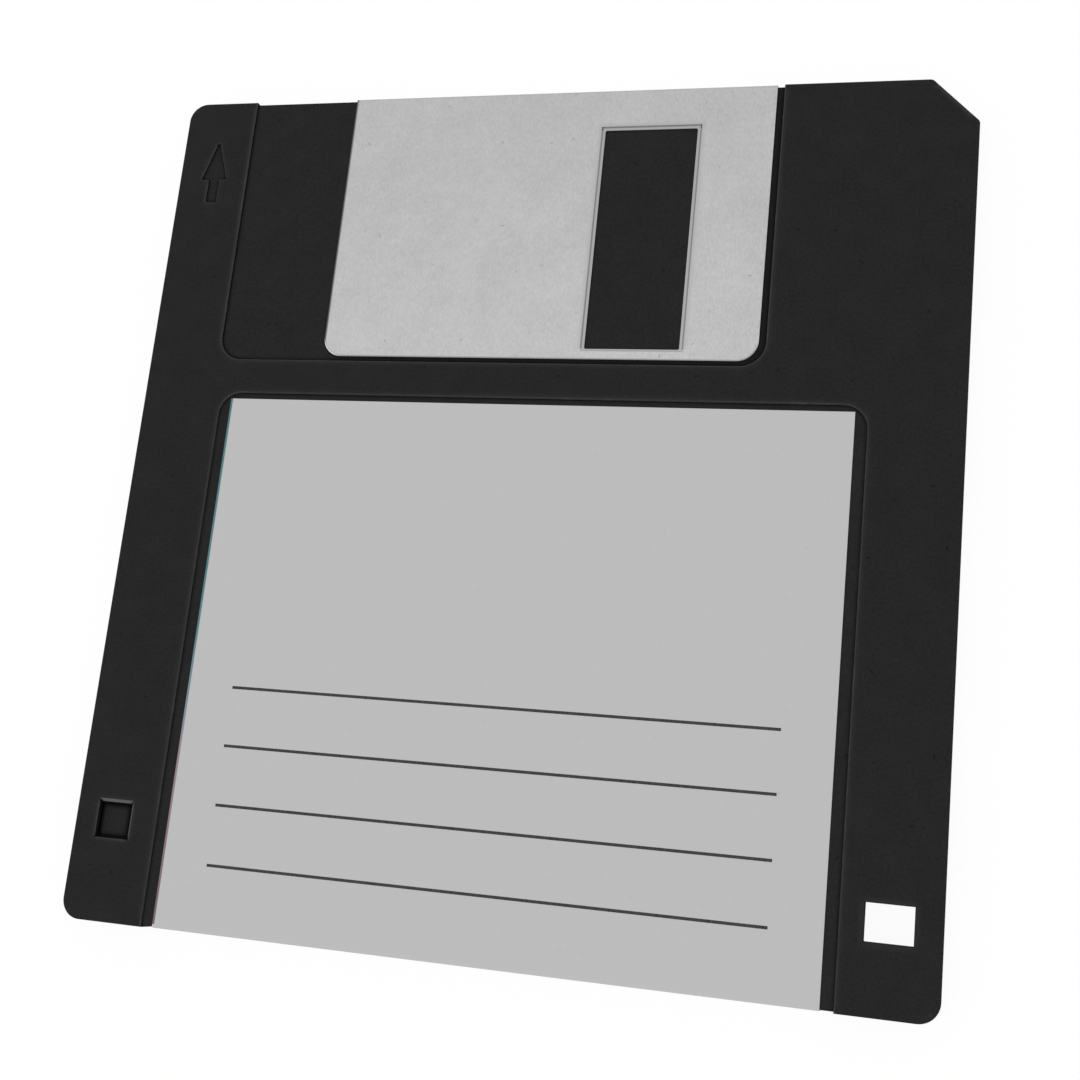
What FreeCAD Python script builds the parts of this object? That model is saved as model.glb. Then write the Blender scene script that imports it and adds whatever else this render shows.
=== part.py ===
import FreeCAD, Part
import math
import os

# Floppy disk in its rigid case. Sizes are in millimetres. The disk lies on its back: +Z points out of
# the label side, +Y towards the shutter edge and +X to the right of the label. The origin is under the
# middle of the case.

# Case
case_width = 90.0
case_length = 94.0
skin = 1.0                      # floor and roof of the two shells
cavity_height = 1.3             # free height between floor and roof
lower_shell_height = 1.65       # level at which the shells meet
wall = 1.2                      # rim round the case
corner_radius = 2.1
corner_cut = 4.9                # bevelled corner that shows the right way in
cut_radius = 0.6                # softened ends of that bevel
inner_corner_radius = 0.5
edge_bevel = 0.12               # outer edges of both faces
rim_bevel = 0.15                # softened rim round each recess

# Spindle and media
spindle_from_top = 48.8         # spindle centre to the shutter edge
spindle_hole_radius = 13.25
lip_width = 1.75                # raised lip round the spindle hole
lip_height = 0.35
disk_edge_gap = 0.8             # disk rim to the inside of the case
disk_thickness = 0.08
chamber_gap = 0.7               # disk rim to the curved ribs
chamber_rib = 1.0
chamber_side_break = 30.0       # the ribs are left out beside the disk
chamber_end_break = 36.0        # and in front of it and behind it
liner_thickness = 0.2
liner_edge_gap = 0.5            # liner inside the disk's rim
liner_bore_radius = 16.5
liner_window_margin = 1.0       # liner kept clear of the head window

# Hub
hub_sheet = 0.3
hub_gap = 0.75                  # hub wall to the spindle hole
hub_sink = 0.25                 # contact ring behind the back face
hub_panel_step = 0.15           # middle panel behind the contact ring
hub_step_run = 0.4              # slope between panel and ring
hub_step_shift = 0.1            # the same slope, moved over on the inside
hub_ring_width = 1.2            # contact ring across its flat
hub_bend = 0.3                  # bevel outside the lower bend
hub_flange_width = 3.0
disk_bore_gap = 0.25            # hub wall to the bore of the disk
spindle_square = 4.0
spindle_square_radius = 0.3
drive_slot_length = 8.0
drive_slot_width = 4.2
drive_slot_radius = 1.2
drive_slot_offset = 7.7         # spindle centre to the middle of the drive slot
drive_slot_angle = 45.0

# Plateau of the upper shell over the hub, with its wear plate
plateau_gap = 1.0               # plateau to the inside of the hub's wall
plate_edge_gap = 0.4
plate_thickness = 0.1
plate_hub_gap = 0.4             # wear plate to the hub panel
pocket_radius = 4.5             # room for the tip of the drive spindle

# Head windows
head_window_width = 9.0
head_window_length = 23.8
head_window_from_top = 5.5
head_window_radius = 0.5

# Shutter
shutter_width = 48.06
shutter_reach = 31.14           # shutter edge of the case to the end of the panels
shutter_sheet = 0.15
shutter_travel = 10.8
shutter_sink = 0.05             # panels below the faces of the case
running_gap = 0.05
spine_gap = 0.05                # spine to the edge of the case
fold_radius = 0.15              # inside of the two folds
panel_radius = 2.2
window_margin_side = 0.585      # shutter window past the head window when open
window_margin_end = 0.67
window_offset = 10.73           # middle of the shutter to its window
window_radius = 0.2
coin_width = 0.42               # border pressed in round the window
coin_end_width = 0.17           # the same at the end away from the spine
coin_slope = 0.15               # sloping part of that border
coin_depth = 0.06

# Shutter seat
seat_end_gap = 0.49
seat_side_gap = 0.74
seat_overtravel = 1.74
seat_radius = 2.6
seat_edge_round = 0.15

# Tongues that hold the shutter in the slots of the case
tongue_from_end = 1.16
tongue_lance = 2.6              # opening left in the spine by each tongue
tongue_neck = 0.8
tongue_reach = 2.6              # shutter edge of the case to the tip of the tongue
tongue_head_length = 1.0
tongue_head_overlap = 0.1       # head past the slot on each side
tongue_play = 0.1               # neck in the slot
slot_end_gap = 0.9

# Shutter spring
spring_wire = 0.38
spring_coil_radius = 2.0
spring_coils = 1                # full coils at the apex, besides the part of one
spring_wire_sides = 6
spring_slack = 1.15             # leg past half the span
spring_play = 0.03              # coil to floor and roof
spring_corner_inset = 0.9       # fixed end to the inner walls
spring_tip_gap = 0.05
spring_tip_inset = 0.5          # moving end past the tip of the tongue

# Label
label_width = 68.45
seat_bar = 3.98                 # bar of the case between the seats of shutter and label
label_back_reach = 7.5
label_sheet = 0.1
label_sink = 0.1
label_edge_sink = 0.05
label_side_gap = 1.275
label_top_gap = 0.68
label_back_gap = 1.1
label_seat_radius = 2.5
label_fold_round = 0.25

# Location holes in the back
location_from_side = 5.0
location_from_top = 17.8
location_radius = 1.8
location_slot_length = 4.4
location_boss_wall = 0.9

# Density hole
density_from_side = 4.95
density_from_bottom = 8.46
density_width = 4.59
density_length = 3.61
density_frame = 0.9

# Write protection
protect_from_side = 4.5
protect_from_bottom = 10.62
protect_window = 3.6
protect_bevel = 0.3
tab_width = 5.8
tab_length = 5.4
tab_play = 0.05                 # tab to floor, roof and stop
tab_side_gap = 0.3
tab_window_gap = 0.3            # tab past the window when open
tab_channel_depth = 0.3         # channel for the tab in the roof
grip_width = 3.8
grip_length = 3.9
grip_gap = 0.1
grip_sink = 0.15
grip_radius = 0.2
groove_width = 0.5
groove_depth = 0.3
guide_width = 0.8

# Weld pins that join the shells
left_pin_from_side = 17.0
left_pin_from_top = 11.2
right_pin_from_side = 6.0
right_pin_from_top = 9.0
low_pin_from_side = 14.0
low_pin_from_bottom = 4.5
pin_width = 1.3
pin_gap = 0.15
pin_boss_width = 2.6
pin_web = 0.1

# Liner lifter
lifter_inner_gap = 3.5          # lip of the spindle hole to the strip
lifter_outer_gap = 2.0          # strip inside the liner's rim
lifter_width = 9.0
lifter_foot = 3.5
lifter_sheet = 0.12
lifter_pocket_depth = 0.3
lifter_pocket_radius = 1.0
lifter_gap = 0.3
lifter_rise_gap = 0.02
lifter_angle = 215.0

# Notches for automatic handling, in the edges of the lower shell
notch_from_top = 26.0
notch_length = 3.4
notch_depth = 0.7
notch_height = 1.2
notch_radius = 0.3

# Arrow cut in the front
arrow_from_side = 4.34
arrow_from_top = 4.43
arrow_length = 8.21
arrow_head_length = 5.35
arrow_head_width = 3.5
arrow_shaft_width = 1.49
arrow_depth = 0.2
arrow_bevel = 0.12
arrow_radius = 0.29             # outward corners of the arrow in the face

# Levels and edges worked out from the sizes above
case_thickness = 2 * skin + cavity_height
floor_z = skin
roof_z = skin + cavity_height
middle_z = skin + cavity_height / 2
right = case_width / 2
left = -right
top = case_length / 2
bottom = -top
past = 2.0                      # how far cutting shapes run past a face

spindle_y = top - spindle_from_top
seat_depth = shutter_sheet + running_gap + shutter_sink
seat_edge_y = top - shutter_sheet - spine_gap
shutter_x = shutter_travel - window_offset
shutter_end_y = top - shutter_reach
shutter_seat_end_y = shutter_end_y - seat_end_gap
label_seat_end_y = shutter_seat_end_y - seat_bar
label_end_y = label_seat_end_y - label_top_gap
label_seat_edge_y = bottom + label_sheet + label_edge_sink
label_seat_depth = label_sheet + label_sink

disk_radius = min(right - wall, spindle_y - bottom - wall) - disk_edge_gap
disk_bottom = middle_z - disk_thickness / 2
disk_top = middle_z + disk_thickness / 2
liner_radius = disk_radius - liner_edge_gap
lifter_start = spindle_hole_radius + lip_width + lifter_inner_gap
lifter_end = liner_radius - lifter_outer_gap
hub_radius = spindle_hole_radius - hub_gap
disk_bore = hub_radius + disk_bore_gap
flange_radius = hub_radius + hub_flange_width
hub_panel_z = hub_sink + hub_panel_step
plate_z = hub_panel_z + hub_sheet + plate_hub_gap
plateau_radius = hub_radius - hub_sheet - plateau_gap

protect_x = left + protect_from_side
protect_y = bottom + protect_from_bottom
tab_travel = (protect_window + tab_length) / 2 + tab_window_gap
tab_run_x = protect_x + tab_width / 2 + tab_side_gap
tab_run_y = protect_y - tab_length / 2 - tab_travel - tab_side_gap
tab_stop_y = protect_y + tab_length / 2 + tab_play
tab_top_z = roof_z + tab_channel_depth - tab_play
density_x = right - density_from_side
density_y = bottom + density_from_bottom
location_x = right - location_from_side
location_y = top - location_from_top
pin_places = [
    (left + left_pin_from_side, top - left_pin_from_top),
    (right - right_pin_from_side, top - right_pin_from_top),
    (left + low_pin_from_side, bottom + low_pin_from_bottom),
    (right - low_pin_from_side, bottom + low_pin_from_bottom),
]
slot_height = tongue_neck + 2 * tongue_play
head_height = slot_height + 2 * tongue_head_overlap


def vector(x, y, z=0.0):
    return FreeCAD.Vector(x, y, z)


def outline(corners, place=vector):
    # Closed wire through corners given as (u, v, radius), each rounded by its own radius.
    edges = []
    count = len(corners)
    starts = []
    for index, (u, v, radius) in enumerate(corners):
        here = vector(u, v)
        to_last = vector(*corners[index - 1][:2]) - here
        to_next = vector(*corners[(index + 1) % count][:2]) - here
        to_last.normalize()
        to_next.normalize()
        if radius == 0:
            starts.append((here, here, here))
            continue
        half = to_last.getAngle(to_next) / 2
        along = radius / math.tan(half)
        inward = to_last + to_next
        inward.normalize()
        middle = here + inward * (radius / math.sin(half) - radius)
        starts.append((here + to_last * along, middle, here + to_next * along))
    for index, (begin, middle, end) in enumerate(starts):
        if begin.distanceToPoint(end) > 1e-6:
            arc = Part.Arc(*[place(p.x, p.y) for p in (begin, middle, end)])
            edges.append(arc.toShape())
        following = starts[(index + 1) % count][0]
        if end.distanceToPoint(following) > 1e-6:
            edges.append(Part.LineSegment(place(end.x, end.y), place(following.x, following.y)).toShape())
    return Part.Wire(edges)


def prism(corners, z0, z1):
    face = Part.Face(outline(corners))
    face.translate(vector(0, 0, z0))
    return face.extrude(vector(0, 0, z1 - z0))


def rectangle(x0, x1, y0, y1, low_radius=0.0, high_radius=0.0):
    # Corners of a rectangle, with one radius at the two low-Y corners and one at the two high-Y ones.
    return [
        (x0, y0, low_radius),
        (x1, y0, low_radius),
        (x1, y1, high_radius),
        (x0, y1, high_radius),
    ]


def centred(x, y, width, length, radius=0.0):
    return rectangle(x - width / 2, x + width / 2, y - length / 2, y + length / 2, radius, radius)


def slab(x0, x1, y_far, y_edge, z0, z1, radius):
    # Block along X whose two long edges at y_edge are rounded.
    corners = [(y_far, z0, 0), (y_edge, z0, radius), (y_edge, z1, radius), (y_far, z1, 0)]
    face = Part.Face(outline(corners, lambda u, v: vector(x0, u, v)))
    return face.extrude(vector(x1 - x0, 0, 0))


def cylinder(x, y, radius, z0, z1):
    return Part.makeCylinder(radius, z1 - z0, vector(x, y, z0))


def ring(outer, inner, z0, z1):
    # Flat ring round the spindle.
    return cylinder(0, spindle_y, outer, z0, z1).cut(cylinder(0, spindle_y, inner, z0 - past, z1 + past))


def mirrored(shape):
    # The same shape seen from the other face of the case.
    return shape.mirror(vector(0, 0, case_thickness / 2), vector(0, 0, 1))


def case_corners(inset=0.0):
    cut = corner_cut - inset * (2 - math.sqrt(2))
    radius = max(corner_radius - inset, inner_corner_radius)
    x = right - inset
    y = top - inset
    return [
        (-x, -y, radius),
        (x, -y, radius),
        (x, y - cut, cut_radius),
        (x - cut, y, cut_radius),
        (-x, y, radius),
    ]


def shell_blank(height):
    # Open tray with its mouth at Z = 0 and its outer face, with bevelled edges, at Z = height.
    blank = prism(case_corners(), 0, height)
    rim = [e for e in blank.Edges if min(v.Z for v in e.Vertexes) > height - 1e-6]
    blank = blank.makeChamfer(edge_bevel, rim)
    return blank.cut(prism(case_corners(wall), -past, height - skin))


def grown(corners, amount):
    # The same outline, its corners given anticlockwise, with every side moved outwards.
    moved = []
    for index, (u, v, radius) in enumerate(corners):
        here = vector(u, v)
        before = here - vector(*corners[index - 1][:2])
        after = vector(*corners[(index + 1) % len(corners)][:2]) - here
        before.normalize()
        after.normalize()
        out_before = vector(before.y, -before.x)
        out_after = vector(after.y, -after.x)
        place = here + (out_before + out_after) * (amount / (1 + out_before.dot(out_after)))
        wider = math.copysign(amount, amount * before.cross(after).z)
        moved.append((place.x, place.y, radius + wider if radius else 0))
    return moved


def flared(corners, face_z, depth, run):
    # Frustum through a face: it has the given outline at the depth, and is wider by the run at the face.
    low = outline(corners)
    low.translate(vector(0, 0, face_z - depth))
    high = outline(grown(corners, 2 * run))
    high.translate(vector(0, 0, face_z + depth))
    return Part.makeLoft([low, high], True, True)


def recess(corners, z_floor, bevel=rim_bevel):
    # Cutter for a pocket or window that opens in the front face, with a bevelled rim.
    body = prism(corners, z_floor, case_thickness + past)
    return body.fuse(flared(corners, case_thickness, bevel, bevel))


def shutter_seat():
    # Everything outside the core that the shutter slides on.
    x0 = shutter_x - shutter_width / 2 - shutter_travel - seat_overtravel
    x1 = shutter_x + shutter_width / 2 + seat_side_gap
    y0 = shutter_seat_end_y
    front = recess(rectangle(x0, x1, y0, top + past, seat_radius), middle_z)
    core = slab(
        x0 - past, x1 + past, y0 - past, seat_edge_y,
        seat_depth, case_thickness - seat_depth, seat_edge_round,
    )
    return front.fuse(mirrored(front)).cut(core)


def label_seat():
    x1 = label_width / 2 + label_side_gap
    back_y = bottom + label_back_reach + label_back_gap
    y0 = bottom - past
    front = recess(rectangle(-x1, x1, y0, label_seat_end_y, 0, label_seat_radius), middle_z)
    back = mirrored(recess(rectangle(-x1, x1, y0, back_y, 0, label_seat_radius), middle_z))
    core = slab(
        -x1 - past, x1 + past, label_seat_end_y + past, label_seat_edge_y,
        label_seat_depth, case_thickness - label_seat_depth, label_fold_round,
    )
    return front.fuse(back).cut(core)


def head_window():
    y1 = top - head_window_from_top
    y0 = y1 - head_window_length
    half = head_window_width / 2
    corners = rectangle(-half, half, y0, y1, head_window_radius, head_window_radius)
    return prism(corners, -past, case_thickness + past)


def tongue_slots():
    # Slots in the shutter edge, one for each tongue over its whole travel.
    z0 = middle_z - slot_height / 2
    cuts = []
    for side in (-1, 1):
        x = tongue_x(side)
        x0 = x - shutter_travel - slot_end_gap
        x1 = x + slot_end_gap
        cuts.append(prism(rectangle(x0, x1, top - wall - past, top + past), z0, z0 + slot_height))
    return cuts


def density_hole():
    corners = centred(density_x, density_y, density_width, density_length)
    return prism(corners, -past, case_thickness + past)


def density_frame_block(z0, z1):
    x0 = density_x - density_width / 2 - density_frame
    y0 = density_y - density_length / 2 - density_frame
    y1 = density_y + density_length / 2 + density_frame
    return prism(rectangle(x0, right - wall / 2, y0, y1), z0, z1)


def chamber_ribs(z0, z1):
    # Curved ribs round the disk, one in each corner of the case.
    inner = disk_radius + chamber_gap
    ribs = ring(inner + chamber_rib, inner, z0, z1)
    reach = 2 * (inner + chamber_rib + past)
    sides = prism(centred(0, spindle_y, reach, chamber_side_break), z0 - past, z1 + past)
    ends = prism(centred(0, spindle_y, chamber_end_break, reach), z0 - past, z1 + past)
    return ribs.common(prism(case_corners(wall / 2), z0, z1)).cut([sides, ends])


def tab_guides(z0, z1):
    # Rib beside the write-protect tab and the stop behind it.
    guide = prism(rectangle(tab_run_x, tab_run_x + guide_width, tab_run_y, tab_stop_y + guide_width), z0, z1)
    stop = prism(
        rectangle(left + wall / 2, tab_run_x + guide_width, tab_stop_y, tab_stop_y + guide_width), z0, z1,
    )
    return guide.fuse(stop)


def tab_channel():
    x0 = 2 * protect_x - tab_run_x
    return prism(rectangle(x0, tab_run_x, tab_run_y, tab_stop_y), middle_z, roof_z + tab_channel_depth)


def location_boss(side, z0, z1):
    # Block that carries the end of each location hole.
    width = location_slot_length + 2 * location_boss_wall
    length = 2 * (location_radius + location_boss_wall)
    return prism(centred(side * location_x, location_y, width, length), z0, z1)


def location_hole(side):
    # Round on one side, oblong on the other to take up the spread between the two pins.
    x = side * location_x
    if side < 0:
        return cylinder(x, location_y, location_radius, -past, lower_shell_height)
    corners = centred(x, location_y, location_slot_length, 2 * location_radius, location_radius)
    return prism(corners, -past, lower_shell_height)


def arrow():
    x = left + arrow_from_side
    tip_y = top - arrow_from_top
    base_y = tip_y - arrow_head_length
    end_y = tip_y - arrow_length
    shaft = arrow_shaft_width / 2
    head = arrow_head_width / 2
    corners = [
        (x, tip_y, arrow_radius),
        (x - head, base_y, arrow_radius),
        (x - shaft, base_y, 0),
        (x - shaft, end_y, arrow_radius),
        (x + shaft, end_y, arrow_radius),
        (x + shaft, base_y, 0),
        (x + head, base_y, arrow_radius),
    ]
    return recess(grown(corners, -arrow_bevel), case_thickness - arrow_depth, arrow_bevel)


def upper_shell():
    meet = lower_shell_height
    shell = shell_blank(case_thickness - meet)
    shell.translate(vector(0, 0, meet))
    added = [
        chamber_ribs(meet, roof_z + skin / 2),
        cylinder(0, spindle_y, plateau_radius, plate_z + plate_thickness, roof_z + skin / 2),
        location_boss(-1, meet, roof_z + skin / 2),
        location_boss(1, meet, roof_z + skin / 2),
        density_frame_block(meet, roof_z + skin / 2),
        tab_guides(meet, roof_z + skin / 2),
    ]
    pin_length = lower_shell_height - skin - 2 * pin_web
    for x, y in pin_places:
        added.append(prism(centred(x, y, pin_boss_width, pin_boss_width), meet, roof_z + skin / 2))
        added.append(prism(centred(x, y, pin_width, pin_width), meet - pin_length, roof_z))
    window = recess(
        centred(protect_x, protect_y, protect_window, protect_window), middle_z - past, protect_bevel,
    )
    removed = [
        shutter_seat(),
        label_seat(),
        head_window(),
        density_hole(),
        window,
        tab_channel(),
        arrow(),
        cylinder(0, spindle_y, pocket_radius, 0, roof_z),
    ]
    return finished(shell, added, removed + tongue_slots())


def lower_shell():
    meet = lower_shell_height
    shell = shell_blank(meet).mirror(vector(0, 0, 0), vector(0, 0, 1))
    shell.translate(vector(0, 0, meet))
    foot = floor_z - skin / 2
    added = [
        chamber_ribs(foot, meet),
        ring(spindle_hole_radius + lip_width, spindle_hole_radius, foot, floor_z + lip_height),
        location_boss(-1, foot, meet),
        location_boss(1, foot, meet),
        density_frame_block(foot, meet),
        tab_guides(foot, meet),
    ]
    removed = [
        shutter_seat(),
        label_seat(),
        head_window(),
        density_hole(),
        cylinder(0, spindle_y, spindle_hole_radius, -past, meet + past),
        location_hole(-1),
        location_hole(1),
        tab_slot(),
        lifter_pocket(),
        handling_notch(-1),
        handling_notch(1),
    ]
    hole_width = pin_width + 2 * pin_gap
    for x, y in pin_places:
        added.append(prism(centred(x, y, pin_boss_width, pin_boss_width), foot, meet))
        removed.append(prism(centred(x, y, hole_width, hole_width), floor_z + pin_web, meet + past))
    return finished(shell, added, removed + tongue_slots())


def handling_notch(side):
    centre_x = side * (right - notch_depth + past)
    corners = centred(centre_x, top - notch_from_top, 2 * past, notch_length, notch_radius)
    return prism(corners, -past, notch_height)


def tab_slot():
    half = grip_width / 2 + grip_gap
    y1 = protect_y + grip_length / 2 + grip_gap
    y0 = protect_y - grip_length / 2 - grip_gap - tab_travel
    return prism(rectangle(protect_x - half, protect_x + half, y0, y1), -past, floor_z + past)


def write_protect_tab():
    # Sliding block that closes the window, with a grip that shows in the back.
    z0 = floor_z + tab_play
    body = prism(centred(protect_x, protect_y, tab_width, tab_length), z0, tab_top_z)
    grip = prism(
        centred(protect_x, protect_y, grip_width, grip_length, grip_radius), grip_sink, z0 + tab_play,
    )
    groove = prism(
        centred(protect_x, protect_y, grip_width + past, groove_width),
        grip_sink - past, grip_sink + groove_depth,
    )
    return finished(body, [grip], [groove])


def lifter_pocket():
    half = lifter_width / 2 + lifter_gap
    corners = rectangle(
        lifter_start - lifter_gap, lifter_end + lifter_gap, -half, half,
        lifter_pocket_radius, lifter_pocket_radius,
    )
    return turned(prism(corners, floor_z - lifter_pocket_depth, floor_z + past))


def liner_lifter():
    # Springy strip under the lower liner, creased along its length so that one side stands up.
    half = lifter_width / 2
    crease = lifter_foot - half
    z0 = floor_z - lifter_pocket_depth
    z1 = floor_z - lifter_rise_gap - lifter_sheet
    corners = [
        (-half, z0, 0),
        (crease, z0, 0),
        (half, z1, 0),
        (half, z1 + lifter_sheet, 0),
        (crease, z0 + lifter_sheet, 0),
        (-half, z0 + lifter_sheet, 0),
    ]
    face = Part.Face(outline(corners, lambda u, v: vector(lifter_start, u, v)))
    return turned(face.extrude(vector(lifter_end - lifter_start, 0, 0)))


def turned(shape):
    # Turns a shape on the X axis to the lifter's direction and moves it to the spindle.
    shape = shape.copy()
    shape.rotate(vector(0, 0, 0), vector(0, 0, 1), lifter_angle)
    shape.translate(vector(0, spindle_y, 0))
    return shape


def liner(z0):
    # Fabric ring that wipes one side of the disk, open at the head window.
    half = head_window_width / 2 + liner_window_margin
    y0 = top - head_window_from_top - head_window_length - liner_window_margin
    slot = prism(rectangle(-half, half, y0, top), z0 - past, z0 + past)
    return ring(liner_radius, liner_bore_radius, z0, z0 + liner_thickness).cut(slot)


def hub_wear_plate():
    return ring(plateau_radius - plate_edge_gap, pocket_radius, plate_z, plate_z + plate_thickness)


def hub():
    # Pressed cup: a flat contact ring, a panel behind it and a flange that carries the disk.
    wall_in = hub_radius - hub_sheet
    ring_in = hub_radius - hub_ring_width
    panel_edge = ring_in - hub_step_run
    top_z = disk_top + hub_sheet
    corners = [
        (0, hub_panel_z, 0),
        (panel_edge, hub_panel_z, 0),
        (ring_in, hub_sink, 0),
        (hub_radius - hub_bend, hub_sink, 0),
        (hub_radius, hub_sink + hub_bend, 0),
        (hub_radius, disk_top, 0),
        (flange_radius, disk_top, 0),
        (flange_radius, top_z, 0),
        (wall_in, top_z, 0),
        (wall_in, hub_sink + hub_sheet, 0),
        (ring_in + hub_step_shift, hub_sink + hub_sheet, 0),
        (panel_edge + hub_step_shift, hub_panel_z + hub_sheet, 0),
        (0, hub_panel_z + hub_sheet, 0),
    ]
    face = Part.Face(outline(corners, lambda u, v: vector(u, spindle_y, v)))
    cup = face.revolve(vector(0, spindle_y, 0), vector(0, 0, 1), 360)
    square = prism(
        centred(0, spindle_y, spindle_square, spindle_square, spindle_square_radius), 0, roof_z,
    )
    slot = prism(
        centred(0, drive_slot_offset, drive_slot_length, drive_slot_width, drive_slot_radius), 0, roof_z,
    )
    slot.rotate(vector(0, 0, 0), vector(0, 0, 1), drive_slot_angle)
    slot.translate(vector(0, spindle_y, 0))
    return finished(cup, [], [square, slot])


def tongue_x(side):
    # Outer face of each tongue's plate; the left tongue is side -1.
    return shutter_x + side * (shutter_width / 2 - tongue_from_end)


def tongue(side):
    # Strip lanced out of the spine and bent inwards, with a head that can't leave its slot.
    x = tongue_x(side)
    inside = x - side * shutter_sheet
    root = x + side * 2 * fold_radius
    inner_y = top - shutter_sheet
    tip_y = top - tongue_reach
    corners = [
        (root, inner_y, 0),
        (x, inner_y, fold_radius),
        (x, tip_y, 0),
        (inside, tip_y, 0),
        (inside, top, fold_radius + shutter_sheet),
        (root, top, 0),
    ]
    neck = prism(corners, middle_z - tongue_neck / 2, middle_z + tongue_neck / 2)
    x0, x1 = sorted((x, inside))
    head = prism(
        rectangle(x0, x1, tip_y, tip_y + tongue_head_length),
        middle_z - head_height / 2, middle_z + head_height / 2,
    )
    return neck.fuse(head)


def lance(side):
    # Opening that the tongue leaves in the spine.
    x0, x1 = sorted((tongue_x(side) + side * fold_radius, tongue_x(side) - side * tongue_lance))
    room = head_height / 2 + tongue_play
    return prism(rectangle(x0, x1, seat_edge_y, top + past), middle_z - room, middle_z + room)


def folded_sheet(x0, x1, y_far, y_edge, z0, z1, sheet, fold):
    # Sheet folded round one edge of the case, as seen along X: a wide U.
    inward = math.copysign(1, y_far - y_edge)
    outside = slab(x0, x1, y_far, y_edge, z0, z1, fold + sheet)
    inside = slab(
        x0 - past, x1 + past, y_far + inward * past, y_edge + inward * sheet,
        z0 + sheet, z1 - sheet, fold,
    )
    return outside.cut(inside)


def shutter():
    x0 = shutter_x - shutter_width / 2
    x1 = shutter_x + shutter_width / 2
    y0 = shutter_end_y
    z0 = shutter_sink
    z1 = case_thickness - shutter_sink
    sheet = folded_sheet(x0, x1, y0, top, z0, z1, shutter_sheet, fold_radius)
    plan = rectangle(x0, x1, y0, top + past, panel_radius)
    sheet = sheet.common(prism(plan, -past, case_thickness + past))

    x = shutter_x + window_offset
    wide = head_window_width / 2 + window_margin_side
    y1 = top - head_window_from_top + window_margin_end
    y0 = top - head_window_from_top - head_window_length - window_margin_end
    window = rectangle(x - wide, x + wide, y0, y1, window_radius, window_radius)
    flat = coin_width - coin_slope
    flat_end = coin_end_width - coin_slope
    coined = rectangle(
        x - wide - flat, x + wide + flat, y0 - flat_end, y1 + flat, window_radius, window_radius,
    )
    border = flared(coined, z1, coin_depth, coin_slope)
    removed = [
        prism(window, -past, case_thickness + past),
        border,
        mirrored(border),
        lance(-1),
        lance(1),
    ]
    return finished(finished(sheet, [], removed), [tongue(-1), tongue(1)], [])


def label():
    half = label_width / 2
    z0 = label_sink
    z1 = case_thickness - label_sink
    back_y = bottom + label_back_reach
    sheet = folded_sheet(
        -half, half, label_end_y, label_seat_edge_y - label_sheet, z0, z1, label_sheet, label_fold_round,
    )
    spare = prism(rectangle(-half - past, half + past, back_y, label_end_y + past), -past, middle_z)
    return finished(sheet, [], [spare])


def shutter_spring():
    # Torsion spring in the corner: two straight legs that run off a short coil.
    anchor = vector(left + wall + spring_corner_inset, top - wall - spring_corner_inset)
    tip_x = tongue_x(-1) - spring_wire / 2 - spring_tip_gap
    tip = vector(tip_x, top - tongue_reach + spring_tip_inset)
    span = tip - anchor
    leg = span.Length / 2 + spring_slack
    down = vector(span.y, -span.x)
    down.normalize()
    apex = anchor + span * 0.5 + down * math.sqrt(leg ** 2 - (span.Length / 2) ** 2)

    def tangent_angle(end, turn):
        # Where a leg from the given end meets the coil, as an angle round the apex.
        away = end - apex
        swing = math.acos(spring_coil_radius / away.Length)
        return math.atan2(away.y, away.x) + turn * swing

    first = tangent_angle(anchor, 1)
    last = tangent_angle(tip, -1)
    sweep = (last - first) % (2 * math.pi) + 2 * math.pi * spring_coils
    turns = sweep / (2 * math.pi)
    rise = cavity_height - 2 * spring_play - spring_wire
    low_z = middle_z - rise / 2

    def on_coil(angle, z):
        return apex + vector(math.cos(angle), math.sin(angle)) * spring_coil_radius + vector(0, 0, z)

    coil = Part.makeHelix(rise / turns, rise, spring_coil_radius)
    coil.rotate(vector(0, 0, 0), vector(0, 0, 1), math.degrees(first))
    coil.translate(apex + vector(0, 0, low_z))
    legs = [
        (anchor + vector(0, 0, low_z), on_coil(first, low_z)),
        (on_coil(last, low_z + rise), tip + vector(0, 0, low_z + rise)),
    ]
    edges = [Part.LineSegment(*legs[0]).toShape()]
    edges += coil.Edges
    edges.append(Part.LineSegment(*legs[1]).toShape())
    path = Part.Wire(edges)
    start, end = legs[0]
    along = end - start
    along.normalize()
    across = vector(-along.y, along.x)
    corner = spring_wire / 2 / math.cos(math.pi / spring_wire_sides)
    points = []
    for index in range(spring_wire_sides + 1):
        angle = math.pi / 2 + math.pi * (2 * index + 1) / spring_wire_sides
        points.append(start + across * (corner * math.cos(angle)) + vector(0, 0, corner * math.sin(angle)))
    section = Part.makePolygon(points)
    return path.makePipeShell([section], True, True)


def finished(shape, added, removed):
    # One clean solid out of a shape, what is joined to it and what is cut from it.
    if added:
        shape = shape.fuse(added)
    if removed:
        shape = shape.cut(removed)
    return shape.removeSplitter()


pieces = {
    "upper_shell": upper_shell(),
    "lower_shell": lower_shell(),
    "upper_liner": liner(roof_z - liner_thickness),
    "lower_liner": liner(floor_z),
    "liner_lifter": liner_lifter(),
    "hub_wear_plate": hub_wear_plate(),
    "magnetic_disk": ring(disk_radius, disk_bore, disk_bottom, disk_top),
    "hub": hub(),
    "shutter": shutter(),
    "shutter_spring": shutter_spring(),
    "write_protect_tab": write_protect_tab(),
    "label": label(),
}

os.makedirs("parts", exist_ok=True)
for node, shape in pieces.items():
    solid = shape.Solids[0] if len(shape.Solids) == 1 else shape
    solid.exportStep("parts/" + node + ".step")
    print(node, len(shape.Solids), "solid", solid.isValid(), round(solid.Volume, 2), "mm3")
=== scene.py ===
import math

import bmesh
import bpy
from mathutils import Matrix, Vector


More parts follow.
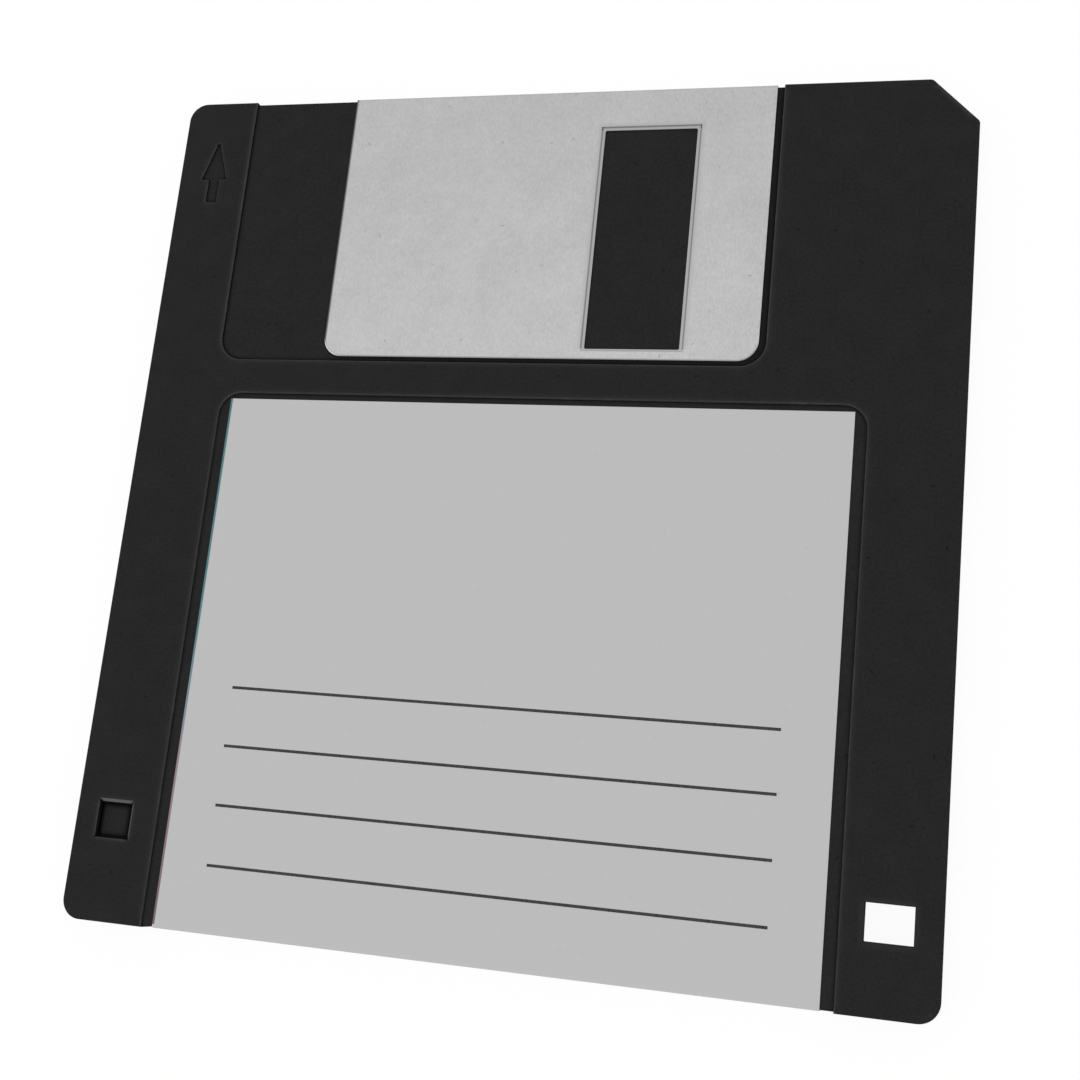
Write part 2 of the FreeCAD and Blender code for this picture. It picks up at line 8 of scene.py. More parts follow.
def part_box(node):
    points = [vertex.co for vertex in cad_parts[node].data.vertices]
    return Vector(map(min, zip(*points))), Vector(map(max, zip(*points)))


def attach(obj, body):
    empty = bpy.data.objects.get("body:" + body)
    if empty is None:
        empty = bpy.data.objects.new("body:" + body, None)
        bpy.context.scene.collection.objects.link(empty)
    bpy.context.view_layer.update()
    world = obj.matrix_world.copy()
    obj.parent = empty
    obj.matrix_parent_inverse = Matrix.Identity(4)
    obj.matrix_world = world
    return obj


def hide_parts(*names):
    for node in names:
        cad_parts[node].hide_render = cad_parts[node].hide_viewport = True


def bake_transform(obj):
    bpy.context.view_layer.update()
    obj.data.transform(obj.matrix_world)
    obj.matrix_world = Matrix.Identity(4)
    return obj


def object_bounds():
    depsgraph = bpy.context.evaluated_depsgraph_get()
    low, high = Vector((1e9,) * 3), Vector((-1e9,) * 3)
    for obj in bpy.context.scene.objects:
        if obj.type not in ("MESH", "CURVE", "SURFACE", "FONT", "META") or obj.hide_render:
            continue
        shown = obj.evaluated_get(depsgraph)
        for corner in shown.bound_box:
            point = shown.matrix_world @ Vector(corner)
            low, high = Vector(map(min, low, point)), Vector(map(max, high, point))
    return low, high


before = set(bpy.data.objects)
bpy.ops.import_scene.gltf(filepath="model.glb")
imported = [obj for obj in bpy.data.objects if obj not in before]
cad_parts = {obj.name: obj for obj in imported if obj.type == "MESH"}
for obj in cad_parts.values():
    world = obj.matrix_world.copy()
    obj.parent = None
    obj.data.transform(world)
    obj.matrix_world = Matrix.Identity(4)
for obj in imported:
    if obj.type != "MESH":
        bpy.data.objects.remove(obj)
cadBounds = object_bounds()

mm = 0.001  # everything below is in metres


# Node helpers

def feed(tree, socket, value):
    # the value is a socket to link or a fixed value to set
    if isinstance(value, bpy.types.NodeSocket):
        tree.links.new(value, socket)
    else:
        socket.default_value = value


def addNode(tree, kind, inputs=None, **settings):
    made = tree.nodes.new(kind)
    for name, value in settings.items():
        setattr(made, name, value)
    for name, value in (inputs or {}).items():
        feed(tree, made.inputs[name], value)
    return made


def math2(tree, operation, first, second):
    return addNode(tree, "ShaderNodeMath", {0: first, 1: second}, operation=operation).outputs[0]


def absolute(tree, value):
    return addNode(tree, "ShaderNodeMath", {0: value}, operation="ABSOLUTE").outputs[0]


def product(tree, first, *others):
    for other in others:
        first = math2(tree, "MULTIPLY", first, other)
    return first


def vectorMath(tree, operation, *vectors):
    made = addNode(tree, "ShaderNodeVectorMath", dict(enumerate(vectors)), operation=operation)
    return made.outputs["Value" if operation in ("DOT_PRODUCT", "LENGTH") else "Vector"]


def split(tree, vector):
    return addNode(tree, "ShaderNodeSeparateXYZ", {"Vector": vector}).outputs


def remap(tree, value, fromLow, fromHigh, toLow=0.0, toHigh=1.0, smooth=False):
    return addNode(tree, "ShaderNodeMapRange", {
        "Value": value, "From Min": fromLow, "From Max": fromHigh,
        "To Min": toLow, "To Max": toHigh,
    }, interpolation_type="SMOOTHSTEP" if smooth else "LINEAR").outputs[0]


def mixTone(tree, amount, first, second):
    return addNode(tree, "ShaderNodeMix", {"Factor": amount, "A": first, "B": second}).outputs[0]


def mixColour(tree, amount, first, second):
    made = addNode(tree, "ShaderNodeMix", data_type="RGBA")
    for name, value in (("Factor", amount), ("A", first), ("B", second)):
        feed(tree, next(s for s in made.inputs if s.name == name and s.enabled), value)
    return next(s for s in made.outputs if s.enabled)


def layOver(tree, colour, *layers):
    # each layer is a mask and the colour that it brings
    for mask, over in layers:
        colour = mixColour(tree, mask, colour, over)
    return colour


def addNoise(tree, vector, size, inputs):
    # size is the width of a grain in metres
    return addNode(tree, "ShaderNodeTexNoise", {
        "Vector": vector, "Scale": math2(tree, "DIVIDE", 1.0, size), **inputs,
    }).outputs[0]


def stretchTone(tree, tone, spread):
    # noise keeps near 0.5, so what lies within the spread round it becomes 0 to 1
    low = math2(tree, "SUBTRACT", 0.5, spread)
    high = math2(tree, "ADD", 0.5, spread)
    return remap(tree, tone, low, high)


def newGroup(name, inputs, outputs):
    tree = bpy.data.node_groups.new(name, "ShaderNodeTree")
    for label, kind, value in inputs:
        socket = tree.interface.new_socket(name=label, in_out="INPUT", socket_type=kind)
        if value is not None:
            socket.default_value = value
    for label, kind in outputs:
        tree.interface.new_socket(name=label, in_out="OUTPUT", socket_type=kind)
    return tree, tree.nodes.new("NodeGroupInput").outputs, tree.nodes.new("NodeGroupOutput").inputs


def useGroup(tree, place, group, inputs=None):
    # a shared effect in the coordinates of the whole part
    given = {"Vector": place["Object"], **(inputs or {})}
    return addNode(tree, "ShaderNodeGroup", given, node_tree=group).outputs


# Shared effects

def makeMouldGrain():
    # cloudy tone and fine pits of a moulded or rolled surface
    tree, given, out = newGroup("mouldGrain", [
        ("Vector", "NodeSocketVector", None),
        ("Grain Size", "NodeSocketFloat", 0.3 * mm),
        ("Cloud Size", "NodeSocketFloat", 3 * mm),
        ("Cloud Share", "NodeSocketFloat", 0.3),
        ("Spread", "NodeSocketFloat", 0.25),
    ], [("Tone", "NodeSocketFloat"), ("Height", "NodeSocketFloat")])
    grain = addNoise(tree, given["Vector"], given["Grain Size"], {"Detail": 2.0, "Roughness": 0.6})
    cloud = addNoise(tree, given["Vector"], given["Cloud Size"], {"Detail": 3.0, "Roughness": 0.5})
    both = mixTone(tree, given["Cloud Share"], grain, cloud)
    tree.links.new(stretchTone(tree, both, given["Spread"]), out["Tone"])
    tree.links.new(grain, out["Height"])
    return tree


tickShape = {
    "bow": 0.7,  # bend of a scratch, in shares of its length
    "side": (0.8, 0.2),  # shares of its width between which it fades
    "end": (0.5, 0.2),  # shares of its length between which it fades
    "faintest": 0.4,
}


def makeTickMarks():
    # sparse short curved scratches, each turned its own way
    tree, given, out = newGroup("tickMarks", [
        ("Vector", "NodeSocketVector", None),
        ("Spacing", "NodeSocketFloat", 6 * mm),
        ("Length", "NodeSocketFloat", 0.6 * mm),
        ("Width", "NodeSocketFloat", 0.16 * mm),
        ("Share", "NodeSocketFloat", 0.6),
    ], [("Mask", "NodeSocketFloat")])
    cells = addNode(tree, "ShaderNodeTexVoronoi", {
        "Vector": given["Vector"], "Scale": math2(tree, "DIVIDE", 1.0, given["Spacing"]),
    }, voronoi_dimensions="2D").outputs
    pick = addNode(tree, "ShaderNodeSeparateColor", {"Color": cells["Color"]}).outputs
    turned = addNode(tree, "ShaderNodeVectorRotate", {
        "Vector": vectorMath(tree, "SUBTRACT", given["Vector"], cells["Position"]),
        "Angle": math2(tree, "MULTIPLY", pick["Red"], 2 * math.pi),
    }, rotation_type="Z_AXIS")
    spot = split(tree, turned.outputs[0])
    along = math2(tree, "DIVIDE", spot["X"], given["Length"])
    bow = product(tree, along, along, given["Length"], tickShape["bow"])
    across = absolute(tree, math2(tree, "SUBTRACT", spot["Y"], bow))
    fromMiddle = math2(tree, "DIVIDE", across, given["Width"])
    thick = remap(tree, fromMiddle, *tickShape["side"], smooth=True)
    tapered = remap(tree, absolute(tree, along), *tickShape["end"], smooth=True)
    chosen = math2(tree, "LESS_THAN", pick["Green"], given["Share"])
    weight = remap(tree, pick["Blue"], 0.0, 1.0, tickShape["faintest"], 1.0)
    tree.links.new(product(tree, thick, tapered, chosen, weight), out["Mask"])
    return tree


rimShape = {
    "face": (0.85, 0.76),  # upright share of a normal, from a flat face to a bevel
    "wall": (0.55, 0.64),  # the same from a wall to a bevel
    "patches": (0.35, 0.65),
}


def makeRimHighlight():
    # painted highlight on bevelled rims inside the outline, in slightly uneven patches
    tree, given, out = newGroup("rimHighlight", [
        ("Vector", "NodeSocketVector", None),
        ("Normal", "NodeSocketVector", None),
        ("Patch Size", "NodeSocketFloat", 2 * mm),
        ("Evenness", "NodeSocketFloat", 0.7),
        ("Outer Reach", "NodeSocketFloat", 30 * mm),
    ], [("Mask", "NodeSocketFloat")])
    upright = absolute(tree, split(tree, given["Normal"])["Z"])
    notFace = remap(tree, upright, *rimShape["face"], smooth=True)
    notWall = remap(tree, upright, *rimShape["wall"], smooth=True)
    outward = vectorMath(tree, "DOT_PRODUCT", given["Normal"], given["Vector"])
    inner = math2(tree, "LESS_THAN", outward, given["Outer Reach"])
    patches = addNoise(tree, given["Vector"], given["Patch Size"], {"Detail": 4.0})
    patchy = remap(tree, patches, *rimShape["patches"])
    steady = math2(tree, "MAXIMUM", patchy, given["Evenness"])
    tree.links.new(product(tree, notFace, notWall, inner, steady), out["Mask"])
    return tree


def makePastOutline():
    # how far a point is past a rectangle with round corners, negative inside
    tree, given, out = newGroup("pastOutline", [
        ("Vector", "NodeSocketVector", None),
        ("Centre", "NodeSocketVector", None),
        ("Half Size", "NodeSocketVector", None),
        ("Radius", "NodeSocketFloat", 0.0),
    ], [("Past", "NodeSocketFloat")])
    away = vectorMath(tree, "SUBTRACT", given["Vector"], given["Centre"])
    over = vectorMath(tree, "SUBTRACT", vectorMath(tree, "ABSOLUTE", away), given["Half Size"])
    spot = split(tree, over)
    side = math2(tree, "ADD", spot["X"], given["Radius"])
    end = math2(tree, "ADD", spot["Y"], given["Radius"])
    within = math2(tree, "MINIMUM", math2(tree, "MAXIMUM", side, end), 0.0)
    corner = addNode(tree, "ShaderNodeCombineXYZ", {
        "X": math2(tree, "MAXIMUM", side, 0.0), "Y": math2(tree, "MAXIMUM", end, 0.0), "Z": 0.0,
    })
    past = math2(tree, "ADD", vectorMath(tree, "LENGTH", corner.outputs[0]), within)
    tree.links.new(math2(tree, "SUBTRACT", past, given["Radius"]), out["Past"])
    return tree


bandEdge = 0.05 * mm  # both sides of the band fade over this


def makeBorderBand():
    # band round three sides of a rectangle, from its low-Y end up
    tree, given, out = newGroup("borderBand", [
        ("Vector", "NodeSocketVector", None),
        ("Centre", "NodeSocketVector", None),
        ("Half Size", "NodeSocketVector", None),
        ("Inner", "NodeSocketFloat", 0.3 * mm),
        ("Outer", "NodeSocketFloat", 0.5 * mm),
        ("Fade", "NodeSocketFloat", 0.6 * mm),
    ], [("Line", "NodeSocketFloat"), ("Fade", "NodeSocketFloat"), ("Inside", "NodeSocketFloat")])
    spot = split(tree, vectorMath(tree, "SUBTRACT", given["Vector"], given["Centre"]))
    half = split(tree, given["Half Size"])
    side = math2(tree, "SUBTRACT", absolute(tree, spot["X"]), half["X"])
    end = math2(tree, "SUBTRACT", spot["Y"], half["Y"])
    gap = math2(tree, "MAXIMUM", side, end)
    started = math2(tree, "GREATER_THAN", spot["Y"], math2(tree, "MULTIPLY", half["Y"], -1.0))
    reached = remap(tree, gap, given["Inner"], math2(tree, "ADD", given["Inner"], bandEdge))
    ended = remap(tree, gap, math2(tree, "ADD", given["Outer"], bandEdge), given["Outer"])
    fadeEnd = math2(tree, "ADD", given["Outer"], given["Fade"])
    faded = remap(tree, gap, fadeEnd, given["Outer"], smooth=True)
    within = math2(tree, "SUBTRACT", 1.0, reached)
    tree.links.new(product(tree, reached, ended, started), out["Line"])
    tree.links.new(product(tree, reached, faded, started), out["Fade"])
    tree.links.new(product(tree, within, started), out["Inside"])
    return tree


fibreTurns = (12, 78)  # degrees, the two ways that fibres run


def makeFibres():
    # short fibres or rolling marks
    tree, given, out = newGroup("fibres", [
        ("Vector", "NodeSocketVector", None),
        ("Fibre Width", "NodeSocketFloat", 0.15 * mm),
        ("Stretch", "NodeSocketFloat", 4.0),
        ("Cross Share", "NodeSocketFloat", 0.5),
        ("Spread", "NodeSocketFloat", 0.2),
    ], [("Tone", "NodeSocketFloat")])
    thin = math2(tree, "DIVIDE", 1.0, given["Stretch"])
    shape = addNode(tree, "ShaderNodeCombineXYZ", {"X": 1.0, "Y": thin, "Z": 1.0})
    layers = []
    for turn in fibreTurns:
        run = addNode(tree, "ShaderNodeMapping", {
            "Vector": given["Vector"], "Rotation": (0, 0, math.radians(turn)),
            "Scale": shape.outputs[0],
        })
        layers.append(addNoise(tree, run.outputs[0], given["Fibre Width"], {
            "Detail": 2.0, "Roughness": 0.65, "Distortion": 0.4,
        }))
    both = mixTone(tree, given["Cross Share"], *layers)
    tree.links.new(stretchTone(tree, both, given["Spread"]), out["Tone"])
    return tree


mouldGrain = makeMouldGrain()
tickMarks = makeTickMarks()
rimHighlight = makeRimHighlight()
pastOutline = makePastOutline()
borderBand = makeBorderBand()
fibres = makeFibres()
print("shared effects built")


# Places on the part

def pastBox(tree, place, low, high, radius=0.0):
    return useGroup(tree, place, pastOutline, {
        "Centre": (low + high) / 2, "Half Size": (high - low) / 2, "Radius": radius,
    })["Past"]


def pastMiddle(tree, place, middle, half):
    return pastBox(tree, place, middle - half, middle + half)


protectWindow = {
    "middle": sum(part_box("write_protect_tab"), Vector()) / 2,
    "half": Vector((1.8 * mm, 1.8 * mm, 0)),  # from its middle to its walls
}

holeFromRight = 4.95 * mm  # edge of the case to the middle of the density hole
holeFromBottom = 8.46 * mm

densityHole = {
    "middle": Vector((cadBounds[1][0] - holeFromRight, cadBounds[0][1] + holeFromBottom, 0)),
    "half": Vector((2.295 * mm, 1.805 * mm, 0)),
}

shutterLow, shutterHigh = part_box("shutter")

shutterSheet = {
    "radius": 2.2 * mm,  # of its two lower corners
    "pastFold": 5 * mm,  # its outline is drawn on past the fold, as the upper corners are square
}


def pastWindow(tree, place):
    return pastMiddle(tree, place, protectWindow["middle"], protectWindow["half"])


def pastHole(tree, place):
    return pastMiddle(tree, place, densityHole["middle"], densityHole["half"])


def pastShutter(tree, place):
    high = shutterHigh + Vector((0, shutterSheet["pastFold"], 0))
    return pastBox(tree, place, shutterLow, high, shutterSheet["radius"])


# Materials

def newMaterial(name):
    material = bpy.data.materials.new(name)
    material.use_nodes = True
    tree = material.node_tree
    shader = tree.nodes["Principled BSDF"]
    place = tree.nodes.new("ShaderNodeTexCoord").outputs
    return material, tree, shader, place


def setShader(tree, shader, inputs):
    for name, value in inputs.items():
        feed(tree, shader.inputs[name], value)


def addBump(tree, shader, height, depth, strength):
    bump = addNode(tree, "ShaderNodeBump", {
        "Height": height, "Distance": depth, "Strength": strength,
    })
    feed(tree, shader.inputs["Normal"], bump.outputs[0])


def addOcclusion(tree, reach, depth, inside=False):
    # 1 where other faces within reach shut a point in this deep
    made = addNode(tree, "ShaderNodeAmbientOcclusion", {"Distance": reach},
                   samples=4, inside=inside, only_local=True)
    return remap(tree, made.outputs["AO"], 1.0, depth)


casePlastic = {
    "dark": (0.0116, 0.0116, 0.0119, 1),
    "light": (0.0184, 0.0184, 0.0188, 1),
    "grainSize": 0.3 * mm,
    "grainSpread": 0.15,
    "tick": (0.005, 0.005, 0.005, 1),
    # painted highlight on the bevelled rims
    "rimHighlightColour": (0.06, 0.06, 0.061, 1),
    "roughness": (0.5, 0.6),
    "specular": 0.06,
    "bump": (0.01 * mm, 0.3),  # depth and strength, here and below
}

caseGlow = {
    "colour": (0.036, 0.036, 0.0365, 1),  # painted highlight on faces close to an inner edge
    "share": 0.6,
    "reach": 0.65 * mm,  # less than the case's walls are thick
    "depth": 0.8,
    "face": (0.8, 0.95),  # upright share of a normal, from a slope to a flat face
    "margin": (0.63 * mm, 0.9 * mm),  # it starts this far inside the outline
    "holeReach": (0.8 * mm, 0.4 * mm),  # the rim of the density hole glows less
    "holeShare": 0.45,
}

# painted shade in inside corners, on the walls of the density hole, in the write-protect window
# and in the gap round the shutter
caseShade = {
    "colour": (0.001, 0.001, 0.001, 1),
    "cornerReach": 0.5 * mm,
    "cornerDepth": 0.85,
    "cornerShare": 0.95,
    "holeWall": (0.02 * mm, 0.01 * mm),  # past the walls of the density hole
    "holeShare": 0.9,
    "floorClear": 0.01 * mm,  # from the walls of the write-protect window to the painted shade on its floor
    "unshadedLow": (-1.45 * mm, -1.25 * mm, 0),  # part of the tab floor left without painted shade, from the window's middle
    "unshadedHigh": (0.85 * mm, 1.0 * mm, 0),
    "unshadedFade": 0.5 * mm,
    "floorShare": 0.85,
    "gapOuter": (0.85 * mm, 0.75 * mm),  # from the shutter to the rim of its seat
    "gapInner": (-0.5 * mm, -0.3 * mm),  # the painted shade ends this far under the sheet
    "gapSunk": 0.12 * mm,  # and stays this far below the sheet's face
    "gapShare": 0.5,
}

# painted highlight and painted shade on the rim of the write-protect window, by which way each
# side faces
windowRimShading = {
    "reach": 0.35 * mm,  # from the walls of the write-protect window
    "shadeReach": 0.19 * mm,
    "towards": (-0.45, -0.83, 0.33),  # where the sides with the painted highlight face
    "highlightFacing": (0.3, 0.9),  # from how little to how much they face there
    "shadeFacing": (0.2, 0.05),
    "polished": (0.17, 0.167, 0.164, 1),
    "shaded": (0.001, 0.001, 0.001, 1),
}


def addGlow(tree, place):
    # painted highlight: flat faces a little lighter near a rim
    nearRim = addOcclusion(tree, caseGlow["reach"], caseGlow["depth"], inside=True)
    past = pastBox(tree, place, Vector(cadBounds[0]), Vector(cadBounds[1]))
    near, far = caseGlow["margin"]
    inward = remap(tree, past, -near, -far, smooth=True)
    upright = absolute(tree, split(tree, place["Normal"])["Z"])
    onFace = remap(tree, upright, *caseGlow["face"])
    dimmed = remap(tree, pastHole(tree, place), *caseGlow["holeReach"], 1.0, caseGlow["holeShare"])
    return product(tree, nearRim, onFace, inward, caseGlow["share"], dimmed)


def addWindowShade(tree, place):
    # painted shade on the floor of the write-protect window, darker towards its walls, none on a
    # box near its middle
    within = math2(tree, "LESS_THAN", pastWindow(tree, place), -caseShade["floorClear"])
    middle = protectWindow["middle"]
    low, high = (middle + Vector(caseShade[corner]) for corner in ("unshadedLow", "unshadedHigh"))
    pastUnshaded = remap(tree, pastBox(tree, place, low, high), 0.0, caseShade["unshadedFade"])
    return product(tree, within, pastUnshaded, caseShade["floorShare"])


def addGapShade(tree, place):
    # painted shade in the gap round the resting shutter, fading towards its left side
    spot = split(tree, place["Object"])
    middle, half = (shutterLow.z + shutterHigh.z) / 2, (shutterHigh.z - shutterLow.z) / 2
    height = absolute(tree, math2(tree, "SUBTRACT", spot["Z"], middle))
    sunk = math2(tree, "LESS_THAN", height, half - caseShade["gapSunk"])
    past = pastShutter(tree, place)
    outer = remap(tree, past, *caseShade["gapOuter"])
    inner = remap(tree, past, *caseShade["gapInner"])
    sideEnd = shutterLow.x + shutterSheet["radius"]
    fromSide = remap(tree, spot["X"], shutterLow.x, sideEnd, smooth=True)
    return product(tree, outer, inner, fromSide, sunk, caseShade["gapShare"])


def addPaintedShade(tree, place):
    # painted shade in inside corners, on the walls of the density hole, on the floor of the
    # write-protect window and in the gap round the shutter
    corner = addOcclusion(tree, caseShade["cornerReach"], caseShade["cornerDepth"])
    shadeMask = math2(tree, "MULTIPLY", corner, caseShade["cornerShare"])
    wall = remap(tree, pastHole(tree, place), *caseShade["holeWall"], 0.0, caseShade["holeShare"])
    for other in (addWindowShade(tree, place), addGapShade(tree, place), wall):
        shadeMask = math2(tree, "MAXIMUM", shadeMask, other)
    return shadeMask


def addWindowRimShading(tree, place, rim, colour):
    # the rim of the write-protect window: a painted highlight on the sides that face towards low X
    # and low Y, and painted shade on the others
    past = pastWindow(tree, place)
    facing = vectorMath(tree, "DOT_PRODUCT", place["Normal"], windowRimShading["towards"])
    near = math2(tree, "LESS_THAN", past, windowRimShading["reach"])
    polished = product(tree, near, rim, remap(tree, facing, *windowRimShading["highlightFacing"]))
    inside = math2(tree, "LESS_THAN", past, windowRimShading["shadeReach"])
    shaded = product(tree, inside, remap(tree, facing, *windowRimShading["shadeFacing"]))
    return layOver(
        tree, colour, (polished, windowRimShading["polished"]), (shaded, windowRimShading["shaded"]),
    )


def makeCasePlastic():
    material, tree, shader, place = newMaterial("casePlastic")
    grain = useGroup(tree, place, mouldGrain, {
        "Grain Size": casePlastic["grainSize"], "Spread": casePlastic["grainSpread"],
    })
    ticks = useGroup(tree, place, tickMarks)
    rim = useGroup(tree, place, rimHighlight, {"Normal": place["Normal"]})
    # painted shade: it darkens the colour and also raises the roughness
    shadeMask = addPaintedShade(tree, place)
    colour = layOver(
        tree, casePlastic["dark"],
        (grain["Tone"], casePlastic["light"]),
        (ticks["Mask"], casePlastic["tick"]),
        (addGlow(tree, place), caseGlow["colour"]),
        (rim["Mask"], casePlastic["rimHighlightColour"]),
    )
    colour = addWindowRimShading(tree, place, rim["Mask"], colour)
    roughness = remap(tree, grain["Tone"], 0.0, 1.0, *casePlastic["roughness"])
    setShader(tree, shader, {
        "Base Color": mixColour(tree, shadeMask, colour, caseShade["colour"]),
        "Roughness": math2(tree, "MAXIMUM", roughness, shadeMask),
        "Specular IOR Level": casePlastic["specular"],
    })
    addBump(tree, shader, grain["Height"], *casePlastic["bump"])
    return material


shutterSteel = {
    "dark": (0.39, 0.39, 0.39, 1),
    "light": (0.51, 0.51, 0.51, 1),
    "cloudShare": 0.4,
    "tick": (0.33, 0.33, 0.33, 1),
    "tickSpacing": 5 * mm,
    # painted highlight on the bevelled rims and outer edges
    "rimHighlightColour": (0.62, 0.62, 0.62, 1),
    "rimHighlightReach": 1.0,  # past every edge, so the outer ones get the painted highlight too
    "roughness": (0.38, 0.48),
    "bump": (0.004 * mm, 0.2),
}

windowBorderShade = {
    "windowHalf": (5.085 * mm, 12.57 * mm, 0),
    "fromRight": 13.3 * mm,  # right edge of the shutter to the middle of its window
    "fromTop": 17.4 * mm,
    "inner": 0.24 * mm,  # from the edge of the window
    "outer": 0.42 * mm,
    # painted shade round the window: the flange a little darker than the sheet, a soft fade
    # outside the line, the dark line itself, darker along the top, and a darker band under the
    # sill
    "rim": (0.36, 0.355, 0.35, 1),
    "fade": (0.40, 0.40, 0.40, 1),
    "line": (0.23, 0.23, 0.23, 1),
    "lineTop": (0.11, 0.105, 0.1, 1),
    "sill": (0.34, 0.34, 0.34, 1),
    "sillStart": (0.1 * mm, 0.14 * mm),  # below the window
    "sillEnd": (0.3 * mm, 0.24 * mm),
}

shutterEdgeShading = {
    # painted shade on the rolled edge
    "rolledShade": (0.22, 0.22, 0.22, 1),
    "rolledShadeWidth": 0.24 * mm,
    "leftShade": (0.08, 0.08, 0.08, 1),  # painted shade along the left edge, which leads when the shutter opens
    "leftShadeWidth": 0.3 * mm,
    # painted highlight on the lower left corner
    "shine": (0.8, 0.8, 0.79, 1),
    "shineWidth": 0.1 * mm,
}


def addWindowBorderShade(tree, place, colour):
    # painted shade on three sides of the shutter's window, and along its sill on the fourth
    middleX = shutterHigh.x - windowBorderShade["fromRight"]
    middleY = shutterHigh.y - windowBorderShade["fromTop"]
    halfX, halfY = windowBorderShade["windowHalf"][:2]
    band = useGroup(tree, place, borderBand, {
        "Centre": (middleX, middleY, 0), "Half Size": windowBorderShade["windowHalf"],
        "Inner": windowBorderShade["inner"], "Outer": windowBorderShade["outer"],
    })
    spot = split(tree, place["Object"])
    top = math2(tree, "GREATER_THAN", spot["Y"], middleY + halfY)
    line = mixColour(tree, top, windowBorderShade["line"], windowBorderShade["lineTop"])
    below = math2(tree, "SUBTRACT", middleY - halfY, spot["Y"])
    aside = absolute(tree, math2(tree, "SUBTRACT", spot["X"], middleX))
    sill = product(
        tree,
        remap(tree, below, *windowBorderShade["sillStart"]),
        remap(tree, below, *windowBorderShade["sillEnd"]),
        math2(tree, "LESS_THAN", aside, halfX + windowBorderShade["outer"]),
    )
    return layOver(
        tree, colour,
        (band["Inside"], windowBorderShade["rim"]),
        (band["Fade"], windowBorderShade["fade"]),
        (band["Line"], line),
        (sill, windowBorderShade["sill"]),
    )


def addShutterEdgeShading(tree, place, colour):
    # painted shade on the rolled edge, from the left side round both lower corners, then painted
    # shade on the left side, which leads, and a painted highlight on the lower left corner
    low, radius = shutterLow, shutterSheet["radius"]
    spot = split(tree, place["Object"])
    past = pastShutter(tree, place)
    left = math2(tree, "LESS_THAN", spot["X"], (shutterLow.x + shutterHigh.x) / 2)
    leftmost = remap(tree, spot["X"], low.x + radius, low.x + radius / 2, smooth=True)
    lowDown = remap(tree, spot["Y"], low.y + radius, low.y + radius / 2, smooth=True)
    rolledShade = remap(tree, past, -shutterEdgeShading["rolledShadeWidth"], 0.0, smooth=True)
    leftShade = remap(tree, spot["X"], low.x + shutterEdgeShading["leftShadeWidth"], low.x, smooth=True)
    width = shutterEdgeShading["shineWidth"]
    shine = remap(tree, past, -width, -width / 2)
    return layOver(
        tree, colour,
        (product(tree, rolledShade, math2(tree, "MAXIMUM", left, lowDown)), shutterEdgeShading["rolledShade"]),
        (leftShade, shutterEdgeShading["leftShade"]),
        (product(tree, shine, leftmost, lowDown), shutterEdgeShading["shine"]),
    )


def makeShutterSteel():
    material, tree, shader, place = newMaterial("shutterSteel")
    marks = useGroup(tree, place, fibres, {
        "Fibre Width": 0.14 * mm, "Stretch": 3.0, "Spread": 0.12,
    })["Tone"]
    cloud = useGroup(tree, place, mouldGrain, {
        "Grain Size": 1 * mm, "Cloud Size": 5 * mm, "Cloud Share": 0.6, "Spread": 0.19,
    })["Tone"]
    ticks = useGroup(tree, place, tickMarks, {"Spacing": shutterSteel["tickSpacing"]})
    rim = useGroup(tree, place, rimHighlight, {
        "Normal": place["Normal"], "Outer Reach": shutterSteel["rimHighlightReach"],
    })
    colour = layOver(
        tree, shutterSteel["dark"],
        (mixTone(tree, shutterSteel["cloudShare"], marks, cloud), shutterSteel["light"]),
        (ticks["Mask"], shutterSteel["tick"]),
        (rim["Mask"], shutterSteel["rimHighlightColour"]),
    )
    colour = addWindowBorderShade(tree, place, colour)
    setShader(tree, shader, {
        "Base Color": addShutterEdgeShading(tree, place, colour),
        "Roughness": remap(tree, marks, 0.0, 1.0, *shutterSteel["roughness"]),
        "Metallic": 1.0,
    })
    addBump(tree, shader, marks, *shutterSteel["bump"])
    return material


labelPaper = {
    "dark": (0.497, 0.497, 0.497, 1),
    "light": (0.51, 0.51, 0.51, 1),
    "fibreWidth": 0.12 * mm,
    "fibreStretch": 5.0,
    "tick": (0.47, 0.47, 0.47, 1),
    "tickSpacing": 5 * mm,
    "roughness": (0.8, 0.9),
    "specular": 0.1,
    "bump": (0.003 * mm, 0.2),
}

labelInk = {
    "paperShare": 0.12,  # how much of the paper shows through
    "roughness": (0.6, 0.75),
    "specular": 0.1,
}


def addPulp(tree, place):
    return useGroup(tree, place, fibres, {
        "Fibre Width": labelPaper["fibreWidth"], "Stretch": labelPaper["fibreStretch"],
    })["Tone"]


def makeLabelPaper():
    material, tree, shader, place = newMaterial("labelPaper")
    pulp = addPulp(tree, place)
    ticks = useGroup(tree, place, tickMarks, {"Spacing": labelPaper["tickSpacing"]})
    setShader(tree, shader, {
        "Base Color": layOver(
            tree, labelPaper["dark"],
            (pulp, labelPaper["light"]),
            (ticks["Mask"], labelPaper["tick"]),
        ),
        "Roughness": remap(tree, pulp, 0.0, 1.0, *labelPaper["roughness"]),
        "Specular IOR Level": labelPaper["specular"],
    })
    addBump(tree, shader, pulp, *labelPaper["bump"])
    return material


